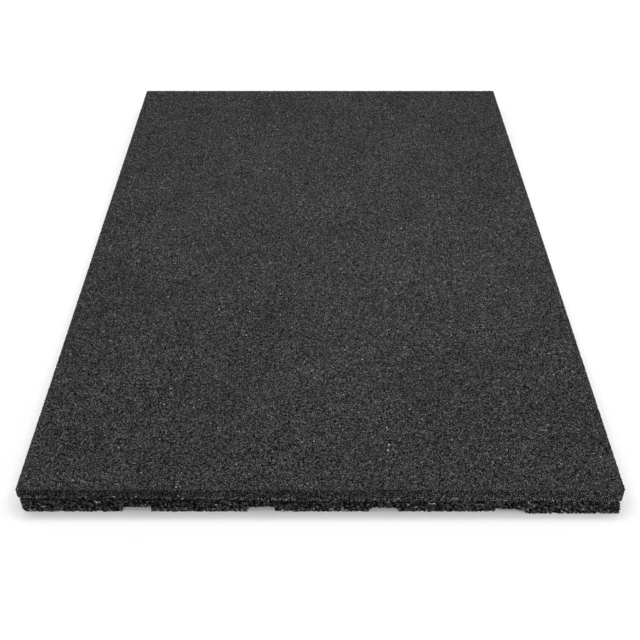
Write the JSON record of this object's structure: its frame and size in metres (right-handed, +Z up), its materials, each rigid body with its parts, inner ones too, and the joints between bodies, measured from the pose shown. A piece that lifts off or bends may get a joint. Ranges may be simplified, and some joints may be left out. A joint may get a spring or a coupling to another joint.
{
  "type": "rubber safety tile",
  "caption": "flat rectangular paving tile of bonded black rubber granulate, fine on top and coarse below, with drainage channels along its underside",
  "frame": {"origin": "middle of the underside, on the floor that the tile lies on", "axes": "+Z up out of the walking surface, +Y along the tile's length and its drainage channels, +X across its width"},
  "size_m": [0.5, 0.75, 0.028],
  "materials": {
    "black_rubber_granulate": "dry matt granulate, fine and dense on top, coarse and crumbly in the lower course"
  },
  "bodies": {
    "root": {"rubber_tile": "black_rubber_granulate"}
  },
  "joints": []
}
